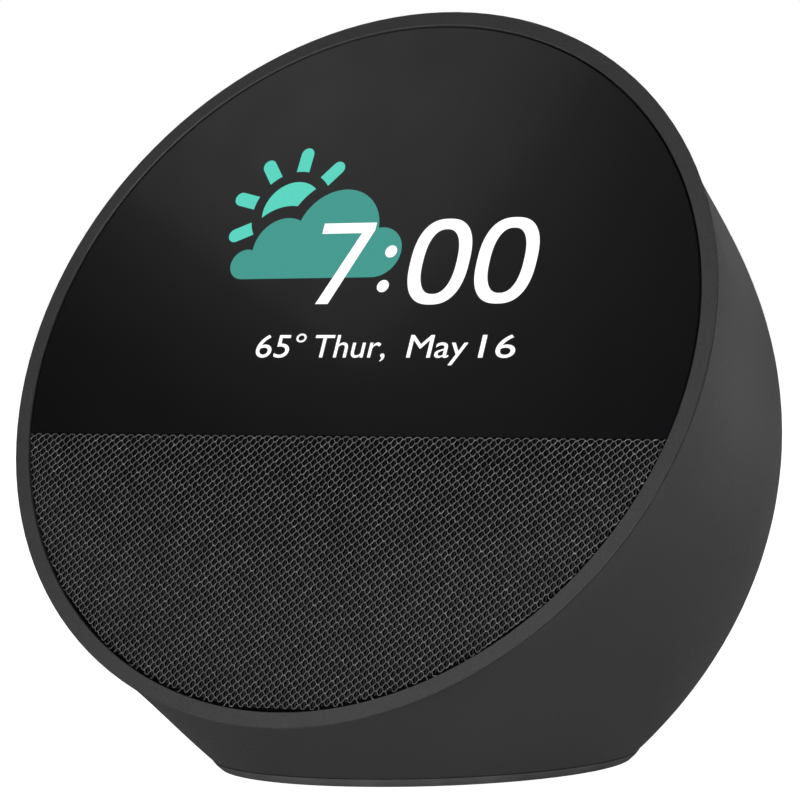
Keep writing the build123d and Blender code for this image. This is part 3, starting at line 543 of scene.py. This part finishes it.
def small_text(name, text, u, width, material):
    """One word of the small line, as a mesh, scaled to its cap height and width."""
    curve = bpy.data.curves.new("word", "FONT")
    curve.body = text
    curve.resolution_u = 6
    source = bpy.data.objects.new("word", curve)
    bpy.context.scene.collection.objects.link(source)
    bpy.context.view_layer.update()
    shape = bpy.data.meshes.new_from_object(source.evaluated_get(bpy.context.evaluated_depsgraph_get()))
    bpy.data.objects.remove(source)
    target = bmesh.new()
    target.from_mesh(shape)
    bpy.data.meshes.remove(shape)
    bmesh.ops.remove_doubles(target, verts=target.verts, dist=WELD)
    low_x = min(v.co.x for v in target.verts)
    wide = max(v.co.x for v in target.verts) - low_x
    for v in target.verts:
        du = (v.co.x - low_x) / wide * width
        v.co = on_face(u + du, SMALL_BASE_V + v.co.y / CAP_OF_FONT * SMALL_CAP, DIGIT_DEPTH)
    grown = bmesh.ops.extrude_face_region(target, geom=target.faces[:])["geom"]
    for item in grown:
        if isinstance(item, bmesh.types.BMVert):
            item.co -= FACE_OUT * PICTURE_THICK * MM
    return new_piece(name, target, material)


def make_picture():
    """Clock digits, a sun behind a cloud, and the small line under them."""
    white = lit("picture_white", WHITE, WHITE_STRENGTH)
    cloud_tone = lit("picture_cloud", CLOUD_TONE, TINT_STRENGTH)
    sun_tone = lit("picture_sun", SUN_TONE, TINT_STRENGTH)
    pieces = []

    target = bmesh.new()
    plate(target, [cloud_outline()], CLOUD_DEPTH, PICTURE_THICK)
    pieces.append(new_piece("picture_cloud", target, cloud_tone))

    target = bmesh.new()
    plate(target, [sun_outline()], CLOUD_DEPTH, PICTURE_THICK)
    for angle in RAY_ANGLES:
        plate(target, [ray_outline(angle)], CLOUD_DEPTH, PICTURE_THICK)
    pieces.append(new_piece("picture_sun", target, sun_tone))

    target = bmesh.new()
    plate(target, [SEVEN], DIGIT_DEPTH, PICTURE_THICK)
    for u, v in ZERO_SPOTS:
        hole_w, hole_h = ZERO_W / 2 - DIGIT_STROKE, ZERO_H / 2 - DIGIT_CROSS_STROKE
        outer = oval(u, v, ZERO_W / 2, ZERO_H / 2, ZERO_SQUARENESS)
        inner = oval(u, v, hole_w, hole_h, ZERO_HOLE_SQUARENESS)
        plate(target, [outer, inner], DIGIT_DEPTH, PICTURE_THICK)
    for u, v in COLON_SPOTS:
        plate(target, [oval(u, v, COLON_R, COLON_R, ROUND, steps=28)], DIGIT_DEPTH, PICTURE_THICK)
    pieces.append(new_piece("picture_time", target, white))

    for name, text, u, width in SMALL_LINE:
        pieces.append(small_text(name, text, u, width, white))
    for piece in pieces:
        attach(piece, HOUSING)


# ---- Grille: a warp-knitted net over a dark backing cloth ----
CELL_W = 1.462
CELL_H = 1.25
THREAD_R = 0.076
LAID_R = 0.1
WAVE = 0.3
FLATNESS = 0.22          # the smaller, the longer neighbouring strands run side by side where they meet
WAVE_STEPS = 8
THREAD_SIDES = 3
LAID_SIDES = 6
LAID_SHORT = 0.3
STRAY = 0.065
STRAY_RATE_U = 0.9
STRAY_RATE_V = 1.7
STRAY_PLACE = 3.1
STRAY_SEED = 7           # without a seed, the noise starts at a place taken from the clock
DEPTH_STRAY = 0.025
DEPTH_WEAVE = 0.02
NET_DEPTH = CLOTH_DEPTH + 0.09
LAID_DEPTH = NET_DEPTH + 0.13
BACKING_DEPTH = CLOTH_DEPTH + 0.36
BACKING_THICK = 0.1
BACKING_CLEAR = 0.04
BACKING_STEPS = 160
EDGE_CLEAR = 0.12


def strand_foot(u):
    """The height at which a yarn at u meets the round edge, below the face's centre."""
    return -sqrt((CLOTH_R - EDGE_CLEAR) ** 2 - u * u)


def add_tube(target, path, radius, sides):
    """A thin tube along points (u, v, depth), with closed ends."""
    rings = []
    for k, (u, v, depth) in enumerate(path):
        before, after = path[max(0, k - 1)], path[min(len(path) - 1, k + 1)]
        run = hypot(after[0] - before[0], after[1] - before[1])
        across = (-(after[1] - before[1]) / run, (after[0] - before[0]) / run)
        ring = []
        for j in range(sides):
            turn = 2 * pi * j / sides + pi / 2
            side, out = radius * cos(turn), radius * sin(turn)
            ring.append(target.verts.new(on_face(u + across[0] * side, v + across[1] * side, depth - out)))
        rings.append(ring)
    for first, second in zip(rings, rings[1:]):
        for j in range(sides):
            nxt = (j + 1) % sides
            target.faces.new((first[j], first[nxt], second[nxt], second[j]))
    target.faces.new(rings[0][::-1])
    target.faces.new(rings[-1])


def strand_half(v):
    """Half the length of a strand at height v."""
    return sqrt(max(0.0, (CLOTH_R - EDGE_CLEAR) ** 2 - v * v))


def net_strand(row, v0):
    """A strand that crosses the grille in waves; its neighbours are half a wave apart."""
    half = strand_half(v0)
    steps = int(2 * half / CELL_W * WAVE_STEPS)
    phase = pi * (row % 2)
    path = []
    for k in range(steps + 1):
        u = -half + 2 * half * k / steps
        angle = 2 * pi * u / CELL_W + phase
        stray = noise.noise_vector(Vector((u * STRAY_RATE_U, v0 * STRAY_RATE_V, STRAY_PLACE)))
        swing = cos(angle) / sqrt(cos(angle) ** 2 + FLATNESS) * sqrt(1 + FLATNESS)
        v = min(v0 + WAVE * swing + STRAY * stray.y, CHORD_V - THREAD_R)
        depth = NET_DEPTH + DEPTH_STRAY * stray.z + DEPTH_WEAVE * cos(2 * angle)
        path.append((u + STRAY * stray.x, v, depth))
    return path


def make_grille(made):
    """The net, the yarns laid in behind it, and the stretched backing that stands for the CAD plate."""
    target = bmesh.new()
    edge_angle = acos(min(1, -CHORD_V / (CLOTH_R - EDGE_CLEAR)))
    start = -pi / 2 - edge_angle
    outline = arc((0, 0), CLOTH_R - BACKING_CLEAR, start, -pi / 2 + edge_angle, BACKING_STEPS)
    plate(target, [outline], BACKING_DEPTH, BACKING_THICK)
    backing = new_piece("grille_backing", target, made["grille_cloth"])

    noise.seed_set(STRAY_SEED)
    net_mesh, laid_mesh = bmesh.new(), bmesh.new()
    rows = int((CHORD_V + CLOTH_R) / (CELL_H / 2))
    for row in range(rows):
        v0 = CHORD_V - THREAD_R - row * CELL_H / 2
        if strand_half(v0) > CELL_W:
            add_tube(net_mesh, net_strand(row, v0), THREAD_R, THREAD_SIDES)
    columns = int((CLOTH_R - EDGE_CLEAR) / (CELL_W / 2))
    for column in range(-columns, columns + 1):
        u0 = column * CELL_W / 2
        if CHORD_V - strand_foot(u0) > CELL_H:
            laid = [(u0, CHORD_V - LAID_R, LAID_DEPTH), (u0, strand_foot(u0) + LAID_SHORT, LAID_DEPTH)]
            add_tube(laid_mesh, laid, LAID_R, LAID_SIDES)
    thread = knit_thread("net_thread", THREAD_TONE)
    yarn = knit_thread("laid_thread", LAID_TONE)
    net = new_piece("grille_net", net_mesh, thread, smooth=True)
    laid = new_piece("grille_laid_yarns", laid_mesh, yarn, smooth=True)

    for piece in (backing, net, laid):
        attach(piece, HOUSING)
    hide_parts("grille_cloth")


# ---- Floor, world and lights ----
FLOOR_SIDE = 6.0
FLOOR_DROP = 0.0002


def make_stage():
    """A pale floor, shown to the camera as evenly lit white."""
    g = Graph("floor")
    tone = g.noise(size=0.3, detail=2)
    base = g.blend(g.between(tone, 0, 1), (0.86, 0.86, 0.86), (0.9, 0.9, 0.9))
    seen = g.add("LightPath").outputs["Is Camera Ray"]
    material = g.finish(Base_Color=base, Roughness=0.9, Specular_IOR_Level=0.1,
                        Emission_Color=(1, 1, 1, 1), Emission_Strength=seen)
    target = bmesh.new()
    half = FLOOR_SIDE / 2
    corners = ((-half, -half), (half, -half), (half, half), (-half, half))
    target.faces.new([target.verts.new((x, y, -FLOOR_DROP)) for x, y in corners])
    mesh = bpy.data.meshes.new("floor")
    target.to_mesh(mesh)
    target.free()
    mesh.materials.append(material)
    floor = bpy.data.objects.new("floor", mesh)
    bpy.context.scene.collection.objects.link(floor)


def make_world():
    """White behind everything for the camera, dark to the object, so its gloss stays deep."""
    world = bpy.data.worlds.new("studio")
    bpy.context.scene.world = world
    world.use_nodes = True
    tree = world.node_tree
    back = tree.nodes["Background"]
    back.inputs["Color"].default_value = (1, 1, 1, 1)
    ray = tree.nodes.new("ShaderNodeLightPath")
    tree.links.new(ray.outputs["Is Camera Ray"], back.inputs["Strength"])


CENTRE_AIM = (0, 0, 0.055)
LIGHTS = {
    # name: (place, aim, width, height, watts)
    "right_back_high": ((0.655, 0.492, 0.629), CENTRE_AIM, 0.5, 0.5, 0.523),
    "right_low_near": ((0.229, -0.244, 0.035), (0.03, -0.02, 0.04), 0.12, 0.12, 0.452),
    "back": ((0.183, 0.913, 0.42), CENTRE_AIM, 0.6, 0.5, 0.891),
    "front_left_low": ((-0.23, -0.765, 0.098), (0, 0, 0.06), 0.3, 0.2, 2.655),
    "right_back_low": ((0.705, 0.705, 0.133), CENTRE_AIM, 0.4, 0.4, 2.231),
    "left_back": ((-0.811, 0.487, 0.379), CENTRE_AIM, 0.5, 0.5, 1.547),
    "lens_glow": ((-0.333, -0.265, 0.539), (-0.02, 0.008, 0.105), 0.12, 0.12, 0.04),
}


def make_lights():
    """Soft boxes around the object."""
    for name, (place, aim, width, height, watts) in LIGHTS.items():
        data = bpy.data.lights.new(name, "AREA")
        data.shape = "RECTANGLE"
        data.size = width
        data.size_y = height
        data.energy = watts
        lamp = bpy.data.objects.new(name, data)
        lamp.location = place
        towards = Vector(aim) - Vector(place)
        lamp.rotation_euler = towards.to_track_quat("-Z", "Y").to_euler()
        lamp.visible_camera = False
        bpy.context.scene.collection.objects.link(lamp)


make_camera()
materials_made = paint_nodes()
make_picture()
make_grille(materials_made)
make_stage()
make_world()
make_lights()
bpy.context.scene.view_settings.view_transform = "Standard"
